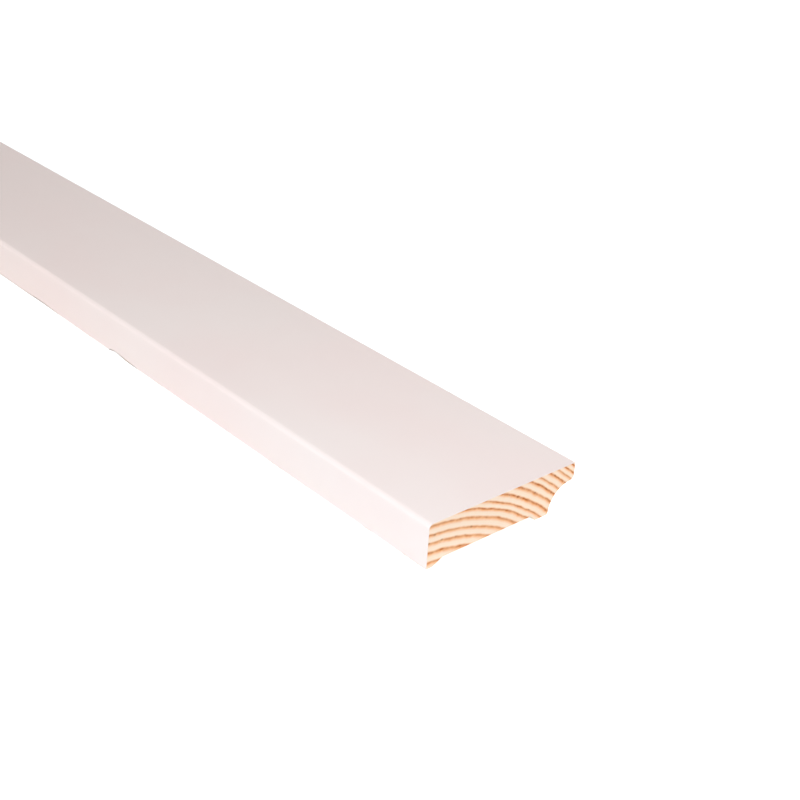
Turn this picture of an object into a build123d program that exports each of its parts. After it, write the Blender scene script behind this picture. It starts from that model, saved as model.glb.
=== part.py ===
"""White painted trim strip of solid pine, one moulded length lying on its back.

The strip lies along X, with its face up (+Z), its square edge towards -Y and its
undercut lip towards +Y. The origin is under the middle of the strip, at the level of
the two feet that it rests on. All sizes are in millimetres.
"""

import os
from math import asin, degrees

from build123d import *

# The blank, as planed
length = 2400.0
width = 70.0
thickness = 17.5

# Square edge: its face arris is eased so that paint holds on it, its back arris is sharp
face_arris_radius = 2.0

# Relief along the back, which lets the strip bridge an uneven wall on its two feet
relief_depth = 2.35
square_foot_width = 2.6
square_foot_slope = 4.6
inner_foot_width = 6.4
inner_foot_slope = 2.4
inner_foot_round = 1.2

# Undercut: a cove behind a thin lip, so that only the lip meets the wall or floor
lip_thickness = 7.0
lip_nose_radius = 2.0
cove_radius = 10.0
cove_centre_height = thickness - lip_thickness - cove_radius

# A splinter is missing from the back arris of the square edge. It broke away short at its
# far end and ran out in a feather towards the near one.
chip_break_from_end = 203.0
chip_deepest_from_end = 197.0
chip_feather_from_end = 178.5
chip_height = 1.35

# Places across the section, measured from the middle of the width
square_edge = -width / 2
lip_edge = width / 2
cove_centre = lip_edge - lip_nose_radius
lip_underside = thickness - lip_thickness

os.makedirs("parts", exist_ok=True)

with BuildPart() as trim_strip:
    # The moulded section, drawn looking along the strip: across is Y, up is Z
    with BuildSketch(Plane.YZ.offset(-length / 2)) as section:
        with BuildLine() as outline:
            face = Line((square_edge, thickness), (lip_edge, thickness))
            lip = Line(face @ 1, (lip_edge, lip_underside + lip_nose_radius))
            nose = CenterArc(
                (cove_centre, lip_underside + lip_nose_radius),
                lip_nose_radius,
                start_angle=0,
                arc_size=-90,
            )
            # The cove turns from the underside of the lip down to the foot's own level
            cove = CenterArc(
                (cove_centre, cove_centre_height),
                cove_radius,
                start_angle=90,
                arc_size=90 + degrees(asin(cove_centre_height / cove_radius)),
            )
            foot_outer = (cove @ 1).X
            relief_from = square_edge + square_foot_width + square_foot_slope
            relief_to = foot_outer - inner_foot_width - inner_foot_slope
            back = Polyline(
                cove @ 1,
                (foot_outer - inner_foot_width, 0),
                (relief_to, relief_depth),
                (relief_from, relief_depth),
                (square_edge + square_foot_width, 0),
                (square_edge, 0),
                face @ 0,
            )
        make_face()
        face_arris = section.vertices().sort_by(Axis.Y)[-2:].sort_by(Axis.X)[0]
        fillet(face_arris, face_arris_radius)
        foot_corner = section.vertices().group_by(Axis.Y)[0].sort_by(Axis.X)[-1]
        fillet(foot_corner, inner_foot_round)
    extrude(amount=length)

    # The splinter left a shallow hollow along the arris, so the hollow is turned about it
    with BuildSketch(Plane.XZ.offset(-square_edge)) as chip:
        with BuildLine():
            Polyline(
                (length / 2 - chip_break_from_end, 0),
                (length / 2 - chip_deepest_from_end, chip_height),
                (length / 2 - chip_feather_from_end, 0),
                close=True,
            )
        make_face()
    revolve(axis=Axis((0, square_edge, 0), (1, 0, 0)), mode=Mode.SUBTRACT)

trim_strip.part.label = "trim_strip"
export_step(trim_strip.part, "parts/trim_strip.step")
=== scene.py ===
# %% [markdown]
# # A white painted trim strip
#
# This notebook dresses a length of pine trim: a flat moulding with one square edge, one
# thin undercut lip and a relieved back. The solid model comes in as a fixed frame. We
# model the strip again with finer edges, as a joiner would run it, and then give it four
# finishes: the satin paint, the sawn end grain, the bare planed back and the torn wood of
# two small breaks.

from math import asin, cos, pi, radians, sin, sqrt

import bmesh
import bpy
from mathutils import Matrix, Vector


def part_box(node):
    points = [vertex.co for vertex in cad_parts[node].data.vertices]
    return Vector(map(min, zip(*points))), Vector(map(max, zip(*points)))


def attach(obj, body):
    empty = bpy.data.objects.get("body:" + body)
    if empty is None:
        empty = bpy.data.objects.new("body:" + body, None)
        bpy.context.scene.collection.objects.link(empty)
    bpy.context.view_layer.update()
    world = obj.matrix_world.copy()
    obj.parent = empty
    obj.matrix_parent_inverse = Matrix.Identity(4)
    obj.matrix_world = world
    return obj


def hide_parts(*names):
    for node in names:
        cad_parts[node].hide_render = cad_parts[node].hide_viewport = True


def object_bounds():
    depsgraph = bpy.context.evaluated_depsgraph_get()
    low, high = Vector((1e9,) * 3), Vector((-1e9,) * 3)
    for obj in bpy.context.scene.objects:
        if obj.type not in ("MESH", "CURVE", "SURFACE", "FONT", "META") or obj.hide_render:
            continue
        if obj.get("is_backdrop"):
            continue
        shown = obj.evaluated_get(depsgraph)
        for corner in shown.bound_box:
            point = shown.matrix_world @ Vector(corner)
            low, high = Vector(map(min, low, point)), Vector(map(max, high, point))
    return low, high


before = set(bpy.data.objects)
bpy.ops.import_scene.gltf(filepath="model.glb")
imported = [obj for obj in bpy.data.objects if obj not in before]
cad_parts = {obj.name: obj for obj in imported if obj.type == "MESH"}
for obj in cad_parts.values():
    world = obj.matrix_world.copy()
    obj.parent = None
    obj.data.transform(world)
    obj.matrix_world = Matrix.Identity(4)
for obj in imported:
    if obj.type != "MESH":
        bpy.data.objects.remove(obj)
cad_low, cad_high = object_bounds()
low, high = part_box("trim_strip")
print("the strip fills", [round(v, 4) for v in low], "to", [round(v, 4) for v in high])

# %% [markdown]
# ## Sizes
#
# Blender works in metres and a moulding is measured in millimetres, so one factor turns
# one into the other. The outside of the strip is read from the frame, and the shape of
# its edges is given by the few sizes that a cutter grinder would ask for.

# %% Sizes of the moulding
MM = 0.001

NEAR_END, FAR_END = high.x, low.x
SQUARE_EDGE, LIP_EDGE = low.y, high.y
BACK, FACE = low.z, high.z

FACE_ARRIS_RADIUS = 2 * MM
RELIEF_DEPTH = 2.35 * MM
SQUARE_FOOT_WIDTH = 2.6 * MM
SQUARE_FOOT_SLOPE = 4.6 * MM
INNER_FOOT_WIDTH = 6.4 * MM
INNER_FOOT_SLOPE = 2.4 * MM
INNER_FOOT_ROUND = 1.2 * MM
LIP_THICKNESS = 7 * MM
LIP_NOSE_RADIUS = 2 * MM
COVE_RADIUS = 10 * MM
SANDED_RADIUS = 0.35 * MM

section = [round(size / MM, 2) for size in (LIP_EDGE - SQUARE_EDGE, FACE - BACK)]
print("the section is", section[0], "mm wide and", section[1], "mm thick")

# %% [markdown]
# ## Drawing the section
#
# A moulding is one outline pushed along a line, so the outline is where the care goes.
# We could trace it as a list of points, but the real cutters make flats and arcs, and
# Blender can draw those directly: start from a single vertex, extrude it along each flat,
# and spin it about a centre for each arc. The spin operator turns clockwise about its
# axis for a positive angle, so an arc that turns the other way gets a negative one.

# %% Helpers for edit mode
def start_alone():
    """Nothing may stay selected, because an operator acts on all that is."""
    if bpy.context.object and bpy.context.object.mode == "EDIT":
        bpy.ops.object.mode_set(mode="OBJECT")
    bpy.ops.object.select_all(action="DESELECT")


def draw_to(y, z):
    """Extrudes the selected end of the outline in a straight line to (y, z)."""
    mesh = bmesh.from_edit_mesh(bpy.context.object.data)
    end = next(v.co for v in mesh.verts if v.select) + bpy.context.object.location
    step = (0, y - end.y, z - end.z)
    bpy.ops.mesh.extrude_region_move(TRANSFORM_OT_translate={"value": step})


def turn_about(y, z, angle, steps):
    """Spins the selected end of the outline about (y, z), clockwise if positive."""
    bpy.ops.mesh.spin(steps=steps, angle=angle, center=(NEAR_END, y, z), axis=(1, 0, 0))


# %% [markdown]
# ### Once round the section
#
# The plane is only a way to get a vertex in the right place: merged at its centre, it is
# a single point on the back arris. From there the outline runs up the square edge, across
# the face, round the lip and back along the feet. Small arcs get few steps and large ones
# get more, so that every curve looks equally smooth. A face fills the outline at the end.

# %% Draw the outline at the near end
ARRIS_STEPS = NOSE_STEPS = 16
SANDED_STEPS = 4
COVE_STEPS = 32
FOOT_STEPS = 12

start_alone()
bpy.ops.mesh.primitive_plane_add(size=MM, location=(NEAR_END, SQUARE_EDGE, BACK))
strip = bpy.context.object
strip.name = "painted_strip"
bpy.ops.object.mode_set(mode="EDIT")
bpy.ops.mesh.merge(type="CENTER")

# Up the square edge, round its eased arris and across the face
draw_to(SQUARE_EDGE, FACE - FACE_ARRIS_RADIUS)
turn_about(SQUARE_EDGE + FACE_ARRIS_RADIUS, FACE - FACE_ARRIS_RADIUS, pi / 2, ARRIS_STEPS)
draw_to(LIP_EDGE - SANDED_RADIUS, FACE)
turn_about(LIP_EDGE - SANDED_RADIUS, FACE - SANDED_RADIUS, pi / 2, SANDED_STEPS)

# Down the lip and round its nose
nose_y = LIP_EDGE - LIP_NOSE_RADIUS
lip_underside = FACE - LIP_THICKNESS
draw_to(LIP_EDGE, lip_underside + LIP_NOSE_RADIUS)
turn_about(nose_y, lip_underside + LIP_NOSE_RADIUS, pi / 2, NOSE_STEPS)

# Along the cove until it meets the round of the foot, which it touches without a kink
cove_z = lip_underside - COVE_RADIUS
between_centres = COVE_RADIUS + INNER_FOOT_ROUND
rise = BACK + INNER_FOOT_ROUND - cove_z
meeting = asin(rise / between_centres)
turn_about(nose_y, cove_z, meeting - pi / 2, COVE_STEPS)
foot_y = nose_y - sqrt(between_centres**2 - rise**2)
turn_about(foot_y, BACK + INNER_FOOT_ROUND, pi / 2 - meeting, FOOT_STEPS)

# Back along the two feet and the relief between them. The foot's width is measured to
# where the cove alone would reach the floor.
foot_outer = nose_y - sqrt(COVE_RADIUS**2 - (cove_z - BACK) ** 2)
inner_foot = foot_outer - INNER_FOOT_WIDTH
square_foot = SQUARE_EDGE + SQUARE_FOOT_WIDTH
draw_to(inner_foot, BACK)
draw_to(inner_foot - INNER_FOOT_SLOPE, BACK + RELIEF_DEPTH)
draw_to(square_foot + SQUARE_FOOT_SLOPE, BACK + RELIEF_DEPTH)
draw_to(square_foot, BACK)

bpy.ops.mesh.select_all(action="SELECT")
bpy.ops.mesh.edge_face_add()
print("the outline has", len(bmesh.from_edit_mesh(strip.data).verts), "points")

# %% [markdown]
# ## From outline to strip
#
# From here on each step starts by picking faces. With a mouse we would click them, and in
# code they are picked by where they are and which way they look, so one helper takes any
# test of a face's centre and normal.

# %% Helpers that pick faces
# A face looks along an axis when this much of its unit normal does
FACING = 0.9


def select_faces(test):
    """Selects the faces for which test(centre, normal) holds, and nothing else."""
    mesh = bmesh.from_edit_mesh(strip.data)
    bpy.ops.mesh.select_all(action="DESELECT")
    bpy.ops.mesh.select_mode(type="FACE")
    place = strip.location
    for face in mesh.faces:
        face.select_set(test(face.calc_center_median() + place, face.normal))
    bmesh.update_edit_mesh(strip.data)
    return sum(face.select for face in mesh.faces)


def looks_along(normal):
    """True for a face that looks along the strip, as its ends and their rims do."""
    return abs(normal.x) > FACING


# %% [markdown]
# ### One long extrusion
#
# The outline was drawn at the near end, so the extrusion goes the other way. The saw
# leaves a hair of paint and fibre standing round each end, so we inset both ends by about
# a fifth of a millimetre, which gives them a narrow rim, and press the wood inside the rim
# back by a few hundredths. The rim is what draws the pale line between paint and end grain.

# %% Extrude the strip and sink its end grain
RIM = 0.22 * MM
END_GRAIN_SUNK = 0.06 * MM
LENGTH = NEAR_END - FAR_END

bpy.ops.mesh.extrude_region_move(TRANSFORM_OT_translate={"value": (-LENGTH, 0, 0)})
bpy.ops.mesh.select_all(action="SELECT")
bpy.ops.mesh.normals_make_consistent(inside=False)
for end_x, inward in ((NEAR_END, -1), (FAR_END, 1)):
    select_faces(lambda c, n: abs(c.x - end_x) < MM and looks_along(n))
    bpy.ops.mesh.inset(thickness=RIM, depth=0)
    bpy.ops.transform.translate(value=(inward * END_GRAIN_SUNK, 0, 0))
bpy.ops.object.mode_set(mode="OBJECT")
bpy.ops.object.transform_apply(location=True, rotation=True, scale=True)
print("the strip now measures", [round(d / MM, 2) for d in strip.dimensions], "mm")

# %% [markdown]
# ## Finishes
#
# One small function adds a node, sets it up and links it, so that each material reads as
# a recipe. Colours are written as sRGB hex, as a colour picker shows them, and turned to
# the linear values that the renderer works in. A pattern's scale is how many of its cells
# fit in a metre, so each one below comes from a real size: cells 3 mm wide make it 330. A
# pattern that is longer one way than another has such a number for X, Y and Z.

# %% Helpers for materials
def linear(hex_colour):
    """sRGB hex to linear RGBA."""
    channels = [int(hex_colour[i : i + 2], 16) / 255 for i in (1, 3, 5)]
    return [c / 12.92 if c <= 0.04045 else ((c + 0.055) / 1.055) ** 2.4 for c in channels] + [1]


def add(tree, kind, inputs=None, **settings):
    """Adds a node. inputs maps a socket's name or number to a value, a node or a socket."""
    node = tree.nodes.new("ShaderNode" + kind)
    for name, value in settings.items():
        setattr(node, name, value)
    for socket, value in (inputs or {}).items():
        if isinstance(value, bpy.types.Node):
            value = value.outputs[0]
        if isinstance(value, bpy.types.NodeSocket):
            tree.links.new(value, node.inputs[socket])
        else:
            node.inputs[socket].default_value = value
    return node


# A Mix node set to colour takes its colours at sockets 6 and 7 and gives them at output 2
COLOUR_A, COLOUR_B, MIXED = 6, 7, 2


def set_stops(node, *stops):
    """Gives a colour ramp its stops, as pairs of position and hex colour."""
    elements = node.color_ramp.elements
    while len(elements) < len(stops):
        elements.new(0.5)
    for element, (position, colour) in zip(elements, stops):
        element.position = position
        element.color = linear(colour)
    return node


def set_points(node, points):
    """Gives a Float Curve its points, joined by straight lines."""
    curve = node.mapping.curves[0]
    while len(curve.points) < len(points):
        curve.points.new(0.5, 0.5)
    for point, place in zip(curve.points, points):
        point.location = place
        point.handle_type = "VECTOR"
    node.mapping.update()
    return node


def new_finish(name):
    """An empty material, its node tree and the place where its shader goes."""
    finish = bpy.data.materials.new(name)
    finish.use_nodes = True
    finish.node_tree.nodes.clear()
    output = add(finish.node_tree, "OutputMaterial")
    return finish, finish.node_tree, output.inputs["Surface"]


# %% [markdown]
# ## How the tree grew
#
# Pine is best drawn in depth: every year the tree adds a sleeve of pale earlywood that
# ends in a band of dark latewood. If the material knows how far each point is from the
# pith, the same recipe gives curved rings on the sawn end and long straight grain on the
# back, and they meet at the corner as they do in a real board. The pith of this board
# lies below its square edge, so the rings climb from there and fall towards the lip.
#
# Rings aren't evenly spaced, because no two summers are alike. The widths below were read
# across the sawn end, in millimetres and from the pith outwards, with how strong each dark
# band is. A Float Curve turns distance into age with them: it climbs by one step for each
# ring.

# %% The rings of this board
PITH_Y, PITH_Z = -40 * MM, -69 * MM
FIRST_RING_RADIUS = 62.15
RING_WIDTHS = (
    (3.2, 3, 3.7, 3.9, 3.5, 3.25, 3.5, 3, 2.45, 3.3)
    + (3.3, 3.05, 2.3, 3.1, 2.4, 2.15, 2.2, 2.2, 2.3, 2.1)
)
LATEWOOD_STRENGTHS = (
    (0.6, 0.7, 0.7, 0.75, 0.5, 0.45, 0.55, 0.7, 0.65, 0.85)
    + (0.6, 0.85, 0.55, 0.9, 0.45, 1, 0.85, 0.8, 0.6, 0.7)
)
LATEWOOD_AT = 0.85
YEARS = len(RING_WIDTHS)
SPAN = sum(RING_WIDTHS)
GROWN = [sum(RING_WIDTHS[:i]) / SPAN for i in range(YEARS + 1)]
print(YEARS, "rings cover", round(SPAN, 1), "mm from the innermost to the outermost")

# %% [markdown]
# ### Not quite straight
#
# Perfect sleeves would give ruled lines along the back. A sine shifts the distance from
# the pith by a few millimetres along the board, as in a trunk that grew with a slight
# bend, and a noise ripples each ring. Its cells are a quarter of a metre long and only
# 7 mm across, because a ripple follows the fibres. The sine turns by 2.3 radians in each
# metre, so one whole sway is a little longer than the strip.

# %% Annual rings as nodes
GRAIN_SWAY = 3.5 * MM
SWAY_RADIANS_PER_METRE = 2.3
RIPPLE = 0.5 * MM
RIPPLES_PER_METRE = (4, 150, 150)


def growth_rings(tree):
    """Object coordinates, each point's share of its year, and its share of all the years."""
    place = add(tree, "TexCoord").outputs["Object"]
    from_end = add(tree, "Mapping", {"Vector": place, "Location": (-NEAR_END, 0, 0)})
    axes = add(tree, "SeparateXYZ", {"Vector": from_end})

    # The trunk was never quite straight, so its sleeves sway along the board
    along = {0: axes.outputs["X"], 1: SWAY_RADIANS_PER_METRE}
    turned = add(tree, "Math", along, operation="MULTIPLY")
    sway = add(tree, "Math", {0: turned}, operation="SINE")
    sway = add(tree, "Math", {0: sway, 1: GRAIN_SWAY}, operation="MULTIPLY")

    # Each ring has ripples of its own, drawn out along the fibres
    drawn = add(tree, "Mapping", {"Vector": from_end, "Scale": RIPPLES_PER_METRE})
    ripples = add(tree, "TexNoise", {"Vector": drawn, "Scale": 1.0, "Roughness": 0.6})
    ripple = add(tree, "MapRange", {"Value": ripples, "To Min": -RIPPLE, "To Max": RIPPLE})

    off_y = add(tree, "Math", {0: axes.outputs["Y"], 1: PITH_Y}, operation="SUBTRACT")
    off_z = add(tree, "Math", {0: axes.outputs["Z"], 1: PITH_Z}, operation="SUBTRACT")
    spoke = add(tree, "CombineXYZ", {"Y": off_y, "Z": off_z})
    radius = add(tree, "VectorMath", {0: spoke}, operation="LENGTH").outputs["Value"]
    radius = add(tree, "Math", {0: radius, 1: sway}, operation="ADD")
    radius = add(tree, "Math", {0: radius, 1: ripple}, operation="ADD")

    # The share becomes an age in years, of which only the part past a whole year counts
    nearest, furthest = FIRST_RING_RADIUS * MM, (FIRST_RING_RADIUS + SPAN) * MM
    share = add(tree, "MapRange", {"Value": radius, "From Min": nearest, "From Max": furthest})
    age = add(tree, "FloatCurve", {"Value": share})
    set_points(age, [(x, i / YEARS) for i, x in enumerate(GROWN)])
    counted = add(tree, "Math", {0: age, 1: float(YEARS)}, operation="MULTIPLY")
    of_year = add(tree, "Math", {0: counted}, operation="FRACT")
    return place, of_year, share


# %% [markdown]
# ## Sawn end grain
#
# The ends are cross-cut pine. We look down the fibres there, and they drink light, so the
# colour is deeper and more orange than on a planed side. Each year runs from cream to an
# orange-brown band. A band isn't equally dark all along, so a noise a few millimetres
# across fades it here and there, and a few resin canals stand in it as dark dots. The
# blade leaves fine scratches, and the hard latewood stands a little proud of them.

# %% One year in colour, as a faint and as a strong ring
FAINT_YEAR = (
    (0.0, "#fdd9b9"),
    (0.12, "#fee3ce"),
    (0.45, "#fee0c8"),
    (0.66, "#fbcda4"),
    (LATEWOOD_AT, "#f3af7b"),
    (1.0, "#fdd9b9"),
)
STRONG_YEAR = (
    (0.0, "#f6bf8c"),
    (0.11, "#fedfc4"),
    (0.42, "#feddc2"),
    (0.62, "#f8be8f"),
    (0.72, "#e8985a"),
    (0.79, "#ca7131"),
    (0.9, "#b65d24"),
    (1.0, "#f6bf8c"),
)
RESIN = "#84491f"

# %% [markdown]
# ### Blotches, canals and scratches
#
# Blotches and resin canals lie about 3 mm apart. A real canal is a fifth of a millimetre
# wide and wouldn't show, so it is drawn as a dot of up to a millimetre: a Voronoi texture
# gives the distance to the middle of each cell, and what is close to it becomes resin. The
# blade's scratches run across the end, some 17 mm long and two thirds of a millimetre
# apart. The real ones are finer than a pixel, so these are drawn coarser too.

# %% Pine seen from the end
BLOTCHES_PER_METRE = 330.0
CANALS_PER_METRE = 330.0
CANAL_DARKNESS = 0.5
SCRATCHES_PER_METRE = (1, 60, 1500)
GRAIN_RELIEF = 0.03 * MM


def sawn_end_grain():
    finish, tree, surface = new_finish("sawn pine end grain")
    place, of_year, share = growth_rings(tree)
    faint = set_stops(add(tree, "ValToRGB", {"Fac": of_year}), *FAINT_YEAR)
    strong = set_stops(add(tree, "ValToRGB", {"Fac": of_year}), *STRONG_YEAR)

    # Each ring's strength holds at its dark band and runs over to the next one's between
    bands = [x + LATEWOOD_AT * width / SPAN for x, width in zip(GROWN, RING_WIDTHS)]
    strength = add(tree, "FloatCurve", {"Value": share})
    set_points(strength, list(zip(bands, LATEWOOD_STRENGTHS)))
    noise = {"Vector": place, "Scale": BLOTCHES_PER_METRE, "Roughness": 0.6}
    blotches = add(tree, "TexNoise", noise)
    blotch = add(
        tree,
        "MapRange",
        {"Value": blotches, "From Min": 0.3, "From Max": 0.7, "To Min": 0.3, "To Max": 1.4},
    )
    darkness = add(tree, "Math", {0: strength, 1: blotch}, operation="MULTIPLY")
    wood = add(
        tree,
        "Mix",
        {"Factor": darkness, COLOUR_A: faint, COLOUR_B: strong},
        data_type="RGBA",
    ).outputs[MIXED]

    # Resin canals lie in the darker half of a year
    cells = add(tree, "TexVoronoi", {"Vector": place, "Scale": CANALS_PER_METRE})
    dot = add(
        tree,
        "MapRange",
        {"Value": cells, "From Min": 0.1, "From Max": 0.22, "To Min": 1.0, "To Max": 0.0},
    )
    late = add(tree, "MapRange", {"Value": of_year, "From Min": 0.55, "From Max": 0.8})
    canal = add(tree, "Math", {0: dot, 1: late}, operation="MULTIPLY")
    canal = add(tree, "Math", {0: canal, 1: CANAL_DARKNESS}, operation="MULTIPLY")
    wood = add(
        tree,
        "Mix",
        {"Factor": canal, COLOUR_A: wood, COLOUR_B: linear(RESIN)},
        data_type="RGBA",
    ).outputs[MIXED]

    drawn = add(tree, "Mapping", {"Vector": place, "Scale": SCRATCHES_PER_METRE})
    scratches = add(tree, "TexNoise", {"Vector": drawn, "Scale": 1.0, "Detail": 4.0})
    height = add(tree, "Math", {0: scratches, 1: of_year}, operation="ADD")
    bump = add(tree, "Bump", {"Height": height, "Distance": GRAIN_RELIEF, "Strength": 0.5})
    shader = add(
        tree,
        "BsdfPrincipled",
        {"Base Color": wood, "Roughness": 0.85, "IOR": 1.5, "Normal": bump},
    )
    tree.links.new(shader.outputs[0], surface)
    return finish


# %% [markdown]
# ## Planed pine
#
# The back and the cove come off the planer and stay bare. Here the same rings are cut
# lengthwise, so they run as grain, and the fibres add fine streaks. A real fibre is
# thinner than a hair, so the streaks are drawn as bundles half a millimetre wide and 40 mm
# long. The spray gun only reached round the lip, and its mist thins out over the first
# millimetres of the cove as separate droplets: a noise that is compared with a slope does
# that. Real droplets are too fine to show, so these are 0.4 mm across.

# %% Pine seen from the side
PAINT_LIGHT, PAINT_DEEP = "#faeae4", "#f9e5df"
MIST_ENDS = LIP_EDGE - 7 * MM
MIST_CLOSES = LIP_EDGE - 2.5 * MM
DROPLETS_PER_METRE = 2500.0
BUNDLES_PER_METRE = (25, 2000, 2000)
STREAK = "#d2a672"
PLANED_YEAR = (
    (0.0, "#ecd0a6"),
    (0.12, "#f5e1c3"),
    (0.5, "#f2dab6"),
    (0.72, "#e2ba88"),
    (LATEWOOD_AT, "#c78e58"),
    (1.0, "#ecd0a6"),
)


def planed_pine():
    finish, tree, surface = new_finish("planed pine")
    place, of_year, _ = growth_rings(tree)
    grain = set_stops(add(tree, "ValToRGB", {"Fac": of_year}), *PLANED_YEAR)
    drawn = add(tree, "Mapping", {"Vector": place, "Scale": BUNDLES_PER_METRE})
    fibres = add(tree, "TexNoise", {"Vector": drawn, "Scale": 1.0, "Detail": 3.0})
    streak = add(
        tree,
        "MapRange",
        {"Value": fibres, "From Min": 0.35, "From Max": 0.8, "To Max": 0.4},
    )
    wood = add(
        tree,
        "Mix",
        {"Factor": streak, COLOUR_A: grain, COLOUR_B: linear(STREAK)},
        data_type="RGBA",
    ).outputs[MIXED]

    across = add(tree, "SeparateXYZ", {"Vector": place}).outputs["Y"]
    cover = add(
        tree,
        "MapRange",
        {"Value": across, "From Min": MIST_ENDS, "From Max": MIST_CLOSES},
    )
    noise = {"Vector": place, "Scale": DROPLETS_PER_METRE, "Detail": 1.0}
    droplets = add(tree, "TexNoise", noise)
    wet = add(tree, "Math", {0: cover, 1: droplets}, operation="SUBTRACT")
    mist = add(tree, "MapRange", {"Value": wet, "From Min": -0.1, "From Max": 0.1})
    colour = add(
        tree,
        "Mix",
        {"Factor": mist, COLOUR_A: wood, COLOUR_B: linear(PAINT_DEEP)},
        data_type="RGBA",
    ).outputs[MIXED]
    bump = add(tree, "Bump", {"Height": fibres, "Distance": GRAIN_RELIEF, "Strength": 0.5})
    shader = add(
        tree,
        "BsdfPrincipled",
        {"Base Color": colour, "Roughness": 0.6, "IOR": 1.5, "Normal": bump},
    )
    tree.links.new(shader.outputs[0], surface)
    return finish


# %% [markdown]
# ## Torn pine
#
# Where a splinter has left, the wood is neither sawn nor planed. The fibres stand open, so
# a break is rough and browner than the paint, and its colour is darkened further with
# painted shade, as the break lies in shadow under the arris. They are drawn as shreds 8 mm
# long and a third of a millimetre thick.

# %% Pine in the breaks
SHREDS_PER_METRE = (120, 3000, 3000)
SHRED_RELIEF = 0.15 * MM


def torn_pine_and_shade():
    finish, tree, surface = new_finish("torn pine with painted shade")
    place = add(tree, "TexCoord").outputs["Object"]
    drawn = add(tree, "Mapping", {"Vector": place, "Scale": SHREDS_PER_METRE})
    fibres = add(tree, "TexNoise", {"Vector": drawn, "Scale": 1.0, "Detail": 3.0})
    # Torn pine colour, made darker with painted shade for the shadow under the arris
    colour = set_stops(
        add(tree, "ValToRGB", {"Fac": fibres}),
        (0.3, "#5f463a"),
        (0.55, "#93725b"),
        (0.75, "#c09f86"),
    )
    bump = add(tree, "Bump", {"Height": fibres, "Distance": SHRED_RELIEF, "Strength": 0.8})
    shader = add(
        tree,
        "BsdfPrincipled",
        {"Base Color": colour, "Roughness": 0.9, "IOR": 1.5, "Normal": bump},
    )
    tree.links.new(shader.outputs[0], surface)
    return finish


# %% [markdown]
# ## Satin paint
#
# The face and both edges carry a factory coat of satin acrylic, a tenth of a millimetre
# thick and slightly warm. It levels out almost flat. What is left for the eye is a faint
# orange peel about a millimetre across, clouds some 55 mm wide where the coat is thinner,
# and the latewood that swells under it in long low ridges. On the sharp back arris the
# film thins out, and bare wood shows in patches about a centimetre long.

# %% Satin white paint
CLOUDS_PER_METRE = 18.0
PEEL_PER_METRE = 900.0
PEEL_RELIEF = 0.008 * MM
WORN_PATCHES_PER_METRE = (90, 700, 700)
WORN_HEIGHT = 0.3 * MM
WORN_PINE = "#b98a62"


def satin_paint():
    finish, tree, surface = new_finish("satin white acrylic paint")
    place, of_year, _ = growth_rings(tree)
    clouds = add(tree, "TexNoise", {"Vector": place, "Scale": CLOUDS_PER_METRE})
    tint = add(tree, "ValToRGB", {"Fac": clouds})
    set_stops(tint, (0.3, PAINT_DEEP), (0.7, PAINT_LIGHT))

    # Bare wood shows wherever a point is lower than the patchy reach of the wear
    rubbed = add(tree, "Mapping", {"Vector": place, "Scale": WORN_PATCHES_PER_METRE})
    patches = add(tree, "TexNoise", {"Vector": rubbed, "Scale": 1.0, "Roughness": 0.6})
    reach = add(
        tree,
        "MapRange",
        {"Value": patches, "From Min": 0.5, "From Max": 0.75, "To Max": WORN_HEIGHT},
    )
    up = add(tree, "SeparateXYZ", {"Vector": place}).outputs["Z"]
    bare = add(tree, "Math", {0: up, 1: reach}, operation="LESS_THAN")
    colour = add(
        tree,
        "Mix",
        {"Factor": bare, COLOUR_A: tint, COLOUR_B: linear(WORN_PINE)},
        data_type="RGBA",
    ).outputs[MIXED]

    peel = add(tree, "TexNoise", {"Vector": place, "Scale": PEEL_PER_METRE})
    ridges = add(tree, "MapRange", {"Value": of_year, "From Min": 0.6, "From Max": LATEWOOD_AT})
    height = add(tree, "Math", {0: peel, 1: ridges}, operation="ADD")
    bump = add(tree, "Bump", {"Height": height, "Distance": PEEL_RELIEF, "Strength": 0.6})
    rough = add(
        tree,
        "MapRange",
        {"Value": clouds, "From Min": 0.3, "From Max": 0.7, "To Min": 0.42, "To Max": 0.5},
    )
    shader = add(
        tree,
        "BsdfPrincipled",
        {"Base Color": colour, "Roughness": rough, "IOR": 1.48, "Normal": bump},
    )
    tree.links.new(shader.outputs[0], surface)
    return finish


# %% [markdown]
# ## Each face gets its finish
#
# The strip is one object with four material slots. A face starts in the first slot, which
# holds the paint. Others are picked by where they are and which way they look: the sunk
# ends are sawn and the back between the edges is planed. The rim of each end is painted
# only where the strip is.

# %% Assign the finishes
SAWN, PLANED, TORN = 1, 2, 3
for finish in (satin_paint(), sawn_end_grain(), planed_pine(), torn_pine_and_shade()):
    strip.data.materials.append(finish)


def on_back(centre):
    """True under the strip, between the square edge and the nose of the lip."""
    return SQUARE_EDGE + RIM < centre.y < nose_y and centre.z < lip_underside + RIM


def is_sawn(centre, normal):
    """True for the sunk end grain, and for its rim along the bare back."""
    # The rim slopes, so that the centres of its faces lie only half as deep
    depth = min(NEAR_END - centre.x, centre.x - FAR_END)
    sunk = depth > 0.9 * END_GRAIN_SUNK
    return looks_along(normal) and (sunk or on_back(centre))


def is_planed(centre, normal):
    """True for the bare back and the cove."""
    return on_back(centre) and not looks_along(normal)


bpy.ops.object.mode_set(mode="EDIT")
for slot, test in ((SAWN, is_sawn), (PLANED, is_planed)):
    count = select_faces(test)
    strip.active_material_index = slot
    bpy.ops.object.material_slot_assign()
    print(strip.data.materials[slot].name, "covers", count, "faces")
bpy.ops.object.mode_set(mode="OBJECT")

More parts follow.
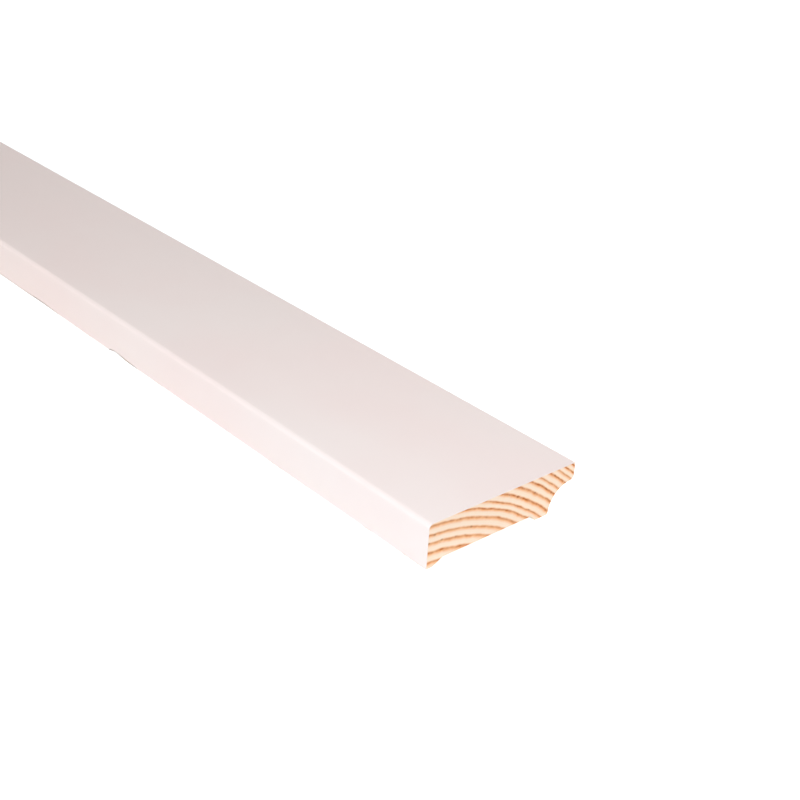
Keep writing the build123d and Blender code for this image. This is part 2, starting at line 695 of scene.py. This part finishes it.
# %% [markdown]
# ## A chipped arris
#
# A splinter has been knocked off the back arris of the square edge, about 190 mm from the
# near end, and a thinner one further back. Splinters leave along the grain: they start
# with a short break and run out in a long feather. A Boolean cut would do, but the solver
# is weak on faces 2.4 metres long with details a tenth of a millimetre high. Pushing the
# arris in by hand is just as quick: bisect the two faces beside it at a few stations,
# then pull the corner in at each of them, deep near the break and less towards the tip.
#
# A station is its distance from the near end, how high the break reaches on the square
# edge, and how far the corner is bitten in and lifted there, all in millimetres.

# %% Stations along the two breaks
BREAKS = (
    (
        (203, 0.05, 0, 0),
        (201.5, 0.7, 0.35, 0.2),
        (199.5, 1.2, 0.55, 0.5),
        (197, 1.35, 0.55, 0.6),
        (194.5, 1.2, 0.45, 0.45),
        (192, 1, 0.35, 0.25),
        (189.5, 0.85, 0.25, 0.1),
        (187, 0.7, 0.2, 0.05),
        (184, 0.55, 0.15, 0),
        (181, 0.35, 0.1, 0),
        (178.5, 0.05, 0, 0),
    ),
    (
        (312, 0.05, 0, 0),
        (302, 0.35, 0.1, 0),
        (291, 0.35, 0.1, 0),
        (279, 0.35, 0.1, 0),
        (272, 0.5, 0.2, 0),
        (267, 0.8, 0.35, 0.1),
        (262, 0.8, 0.35, 0.1),
        (257, 0.75, 0.3, 0.1),
        (252, 0.6, 0.25, 0.05),
        (248, 0.4, 0.15, 0),
        (245, 0.05, 0, 0),
    ),
)
for stations in BREAKS:
    print("a break with", len(stations), "stations,", max(s[1] for s in stations), "mm high")

# %% [markdown]
# ### Bisect, then pull
#
# The cuts across the strip give the corner its vertices, and the two cuts along it keep
# the change close to the arris. The vertices of the upper cut then move to the break's
# top, and those of the corner move in. Last, a sharp rim round the torn faces keeps the
# break from shading the flat edge above it.

# %% Break the arris
BREAK_TOP = 1 * MM
BREAK_BACK = 2 * MM
SMOOTH_BELOW = radians(30)


def pull(place, by):
    """Moves the vertex nearest to place."""
    mesh = bmesh.from_edit_mesh(strip.data)
    bpy.ops.mesh.select_all(action="DESELECT")
    bpy.ops.mesh.select_mode(type="VERT")
    min(mesh.verts, key=lambda v: (v.co - Vector(place)).length).select_set(True)
    bpy.ops.transform.translate(value=by)


arris_ends = FACE - FACE_ARRIS_RADIUS
torn_y, torn_z = SQUARE_EDGE + BREAK_BACK, BACK + 2 * BREAK_TOP

bpy.ops.object.mode_set(mode="EDIT")
for stations in BREAKS:
    for from_end, *_ in stations:
        select_faces(lambda c, n: c.y < square_foot and c.z < arris_ends and not looks_along(n))
        bpy.ops.mesh.bisect(plane_co=(NEAR_END - from_end * MM, 0, 0), plane_no=(1, 0, 0))
    begins, ends = (NEAR_END - stations[i][0] * MM for i in (0, -1))
    select_faces(lambda c, n: begins < c.x < ends and n.y < -FACING)
    bpy.ops.mesh.bisect(plane_co=(0, 0, BACK + BREAK_TOP), plane_no=(0, 0, 1))
    select_faces(lambda c, n: begins < c.x < ends and n.z < -FACING and c.y < square_foot)
    bpy.ops.mesh.bisect(plane_co=(0, SQUARE_EDGE + BREAK_BACK, 0), plane_no=(0, 1, 0))
    for from_end, height, bite, lift in stations:
        x = NEAR_END - from_end * MM
        pull((x, SQUARE_EDGE, BACK + BREAK_TOP), (0, 0, height * MM - BREAK_TOP))
        pull((x, SQUARE_EDGE, BACK), (0, bite * MM, lift * MM))
    count = select_faces(lambda c, n: begins < c.x < ends and c.y < torn_y and c.z < torn_z)
    strip.active_material_index = TORN
    bpy.ops.object.material_slot_assign()
    bpy.ops.mesh.region_to_loop()
    bpy.ops.mesh.mark_sharp()
    print("a break of", round((ends - begins) / MM, 1), "mm with", count, "torn faces")
bpy.ops.object.mode_set(mode="OBJECT")

bpy.ops.object.shade_smooth_by_angle(angle=SMOOTH_BELOW)
print("the strip has", len(strip.data.polygons), "faces")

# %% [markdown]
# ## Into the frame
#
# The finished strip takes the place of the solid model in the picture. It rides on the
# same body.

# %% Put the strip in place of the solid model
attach(strip, "root")
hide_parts("trim_strip")

# %% [markdown]
# ## Floor
#
# The photograph has a pure white background. More light would bleach the strip, so only
# the camera's own rays, and those that it sees reflected, find the floor at full white.
# The floor keeps some diffuse shading too, so that the strip still darkens it a little
# where they meet. It is far wider than the picture, so that its rim never shows.

# %% Floor
FLOOR_RADIUS = 9
FLOOR_SIDES = 96
FLOOR_COLOUR = (0.8, 0.8, 0.8, 1)
FLOOR_GLOW = 0.8


def seen_directly(tree):
    """1 for rays from the camera, and for those that it sees reflected or refracted."""
    path = add(tree, "LightPath").outputs
    mirrored = add(
        tree,
        "Math",
        {0: path["Is Glossy Ray"], 1: path["Is Transmission Ray"]},
        operation="ADD",
    )
    return add(tree, "Math", {0: path["Is Camera Ray"], 1: mirrored}, operation="ADD")


start_alone()
bpy.ops.mesh.primitive_circle_add(
    vertices=FLOOR_SIDES,
    radius=FLOOR_RADIUS,
    fill_type="NGON",
    location=(0, 0, BACK),
)
floor = bpy.context.object
floor.name = "floor"
white, tree, surface = new_finish("matt white floor")
matt = add(tree, "BsdfDiffuse", {"Color": FLOOR_COLOUR})
brightness = add(tree, "Math", {0: seen_directly(tree), 1: FLOOR_GLOW}, operation="MULTIPLY")
glow = add(tree, "Emission", {"Strength": brightness})
both = add(tree, "AddShader", {0: matt, 1: glow})
tree.links.new(both.outputs[0], surface)
floor.data.materials.append(white)
floor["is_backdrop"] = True
print("the floor is", 2 * FLOOR_RADIUS, "m across")

# %% [markdown]
# ## World
#
# The world works in the same way. The camera and reflections find it white, and the light
# that really falls on the strip from there stays low, so that the lamps can shape it.

# %% World
AMBIENT = 0.25
WORLD_WHITE = (1, 1, 1, 1)

world = bpy.data.worlds.new("studio")
bpy.context.scene.world = world
world.use_nodes = True
tree = world.node_tree
tree.nodes.clear()
ambient = add(tree, "Background", {"Color": WORLD_WHITE, "Strength": AMBIENT})
backdrop = add(tree, "Background", {"Color": WORLD_WHITE, "Strength": 1.0})
both = add(tree, "MixShader", {0: seen_directly(tree), 1: ambient, 2: backdrop})
add(tree, "OutputWorld", {"Surface": both})
print("the world lights the strip at", AMBIENT, "and looks white")

# %% [markdown]
# ## Studio lamps
#
# Softboxes give the strip its form. The key hangs just beyond the near end, so the face
# fades as it runs away from the camera. A long box beside the square edge keeps that edge
# brighter than the face, a small cool one fills it near the end, and one in front lights
# the end grain. Three more serve what this camera doesn't see: the far part, the far end
# and the lip side. Places and sizes are in metres, and power is in watts.

# %% Lamps
WHITE, COOL, WARM = (1, 1, 1), (0.5, 0.8, 1), (1, 0.9, 0.85)
SMALL_BOX, LONG_BOX = (0.4, 0.4), (2.6, 0.4)


def softbox(name, location, aim, size, power, colour=WHITE):
    """An area lamp that faces aim and stays out of the picture."""
    lamp = bpy.data.lights.new(name, "AREA")
    lamp.shape = "RECTANGLE"
    lamp.size, lamp.size_y = size
    lamp.energy = power
    lamp.color = colour
    holder = bpy.data.objects.new(name, lamp)
    holder.location = location
    holder.rotation_euler = (Vector(aim) - Vector(location)).to_track_quat("-Z", "Y").to_euler()
    holder.visible_camera = False
    bpy.context.collection.objects.link(holder)
    return holder


near, far, middle = Vector((NEAR_END, 0, 0)), Vector((FAR_END, 0, 0)), Vector((0, 0, 0))
softbox("key", near + Vector((0.15, -0.2, 0.55)), near, SMALL_BOX, 1.55)
fill = softbox("cool fill", near + Vector((0.3, -0.45, 0.35)), near, (0.3, 0.3), 1.5, COOL)
fill.visible_glossy = False
softbox("end light", near + Vector((0.7, 0.15, 0.3)), near, SMALL_BOX, 2.0)
softbox("long edge light", (0, -1.1, 0.3), middle, LONG_BOX, 8.1, WARM)
softbox("far light", (-0.6, -0.15, 0.7), (-0.6, -0.05, 0), (1.5, 0.5), 4)
softbox("far end light", far + Vector((-0.7, 0.15, 0.3)), far, SMALL_BOX, 2.0)
softbox("lip light", (0, 1.1, 0.3), middle, LONG_BOX, 3.2)
print(len(bpy.data.lights), "lamps of", [round(lamp.energy, 2) for lamp in bpy.data.lights], "W")

# %% [markdown]
# ## Camera
#
# The angle was solved from the photograph, where the long edges, the end and the uprights
# each run to a vanishing point. The camera stands 47 degrees round from the square edge's
# side, looks down at 27 degrees and is rolled a little, as a hand-held camera is. The
# focal length is for a sensor 36 mm wide, and both are in millimetres.

# %% Camera
AIM = Vector((1.12845, 0.01453, 0.0175))
AZIMUTH, ELEVATION, ROLL = radians(47.303), radians(27.449), radians(3.71)
DISTANCE = 0.51588
SENSOR_WIDTH, FOCAL_LENGTH = 36, 61.2
NEAREST_SEEN = 0.01

lens = bpy.data.cameras.new("camera")
lens.sensor_width = SENSOR_WIDTH
lens.lens = FOCAL_LENGTH
lens.clip_start = NEAREST_SEEN
camera = bpy.data.objects.new("camera", lens)
bpy.context.collection.objects.link(camera)
level, height = cos(ELEVATION), sin(ELEVATION)
outward = Vector((sin(AZIMUTH) * level, -cos(AZIMUTH) * level, height))
camera.location = AIM + outward * DISTANCE
facing = outward.to_track_quat("Z", "Y").to_matrix() @ Matrix.Rotation(ROLL, 3, "Z")
camera.rotation_euler = facing.to_euler()
bpy.context.scene.camera = camera
bpy.context.scene.view_settings.view_transform = "Standard"
print("the camera stands at", [round(v, 3) for v in camera.location])

# %% [markdown]
# ## Is it still the same strip?
#
# Whatever we add, the strip has to fill the same box as the solid model. We measure both
# and print them.

# %% Compare the sizes
visual_low, visual_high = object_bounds()
boxes = {"cad": [list(cad_low), list(cad_high)], "visual": [list(visual_low), list(visual_high)]}
for name, (lowest, highest) in boxes.items():
    print(name, [round(v, 4) for v in lowest], [round(v, 4) for v in highest])
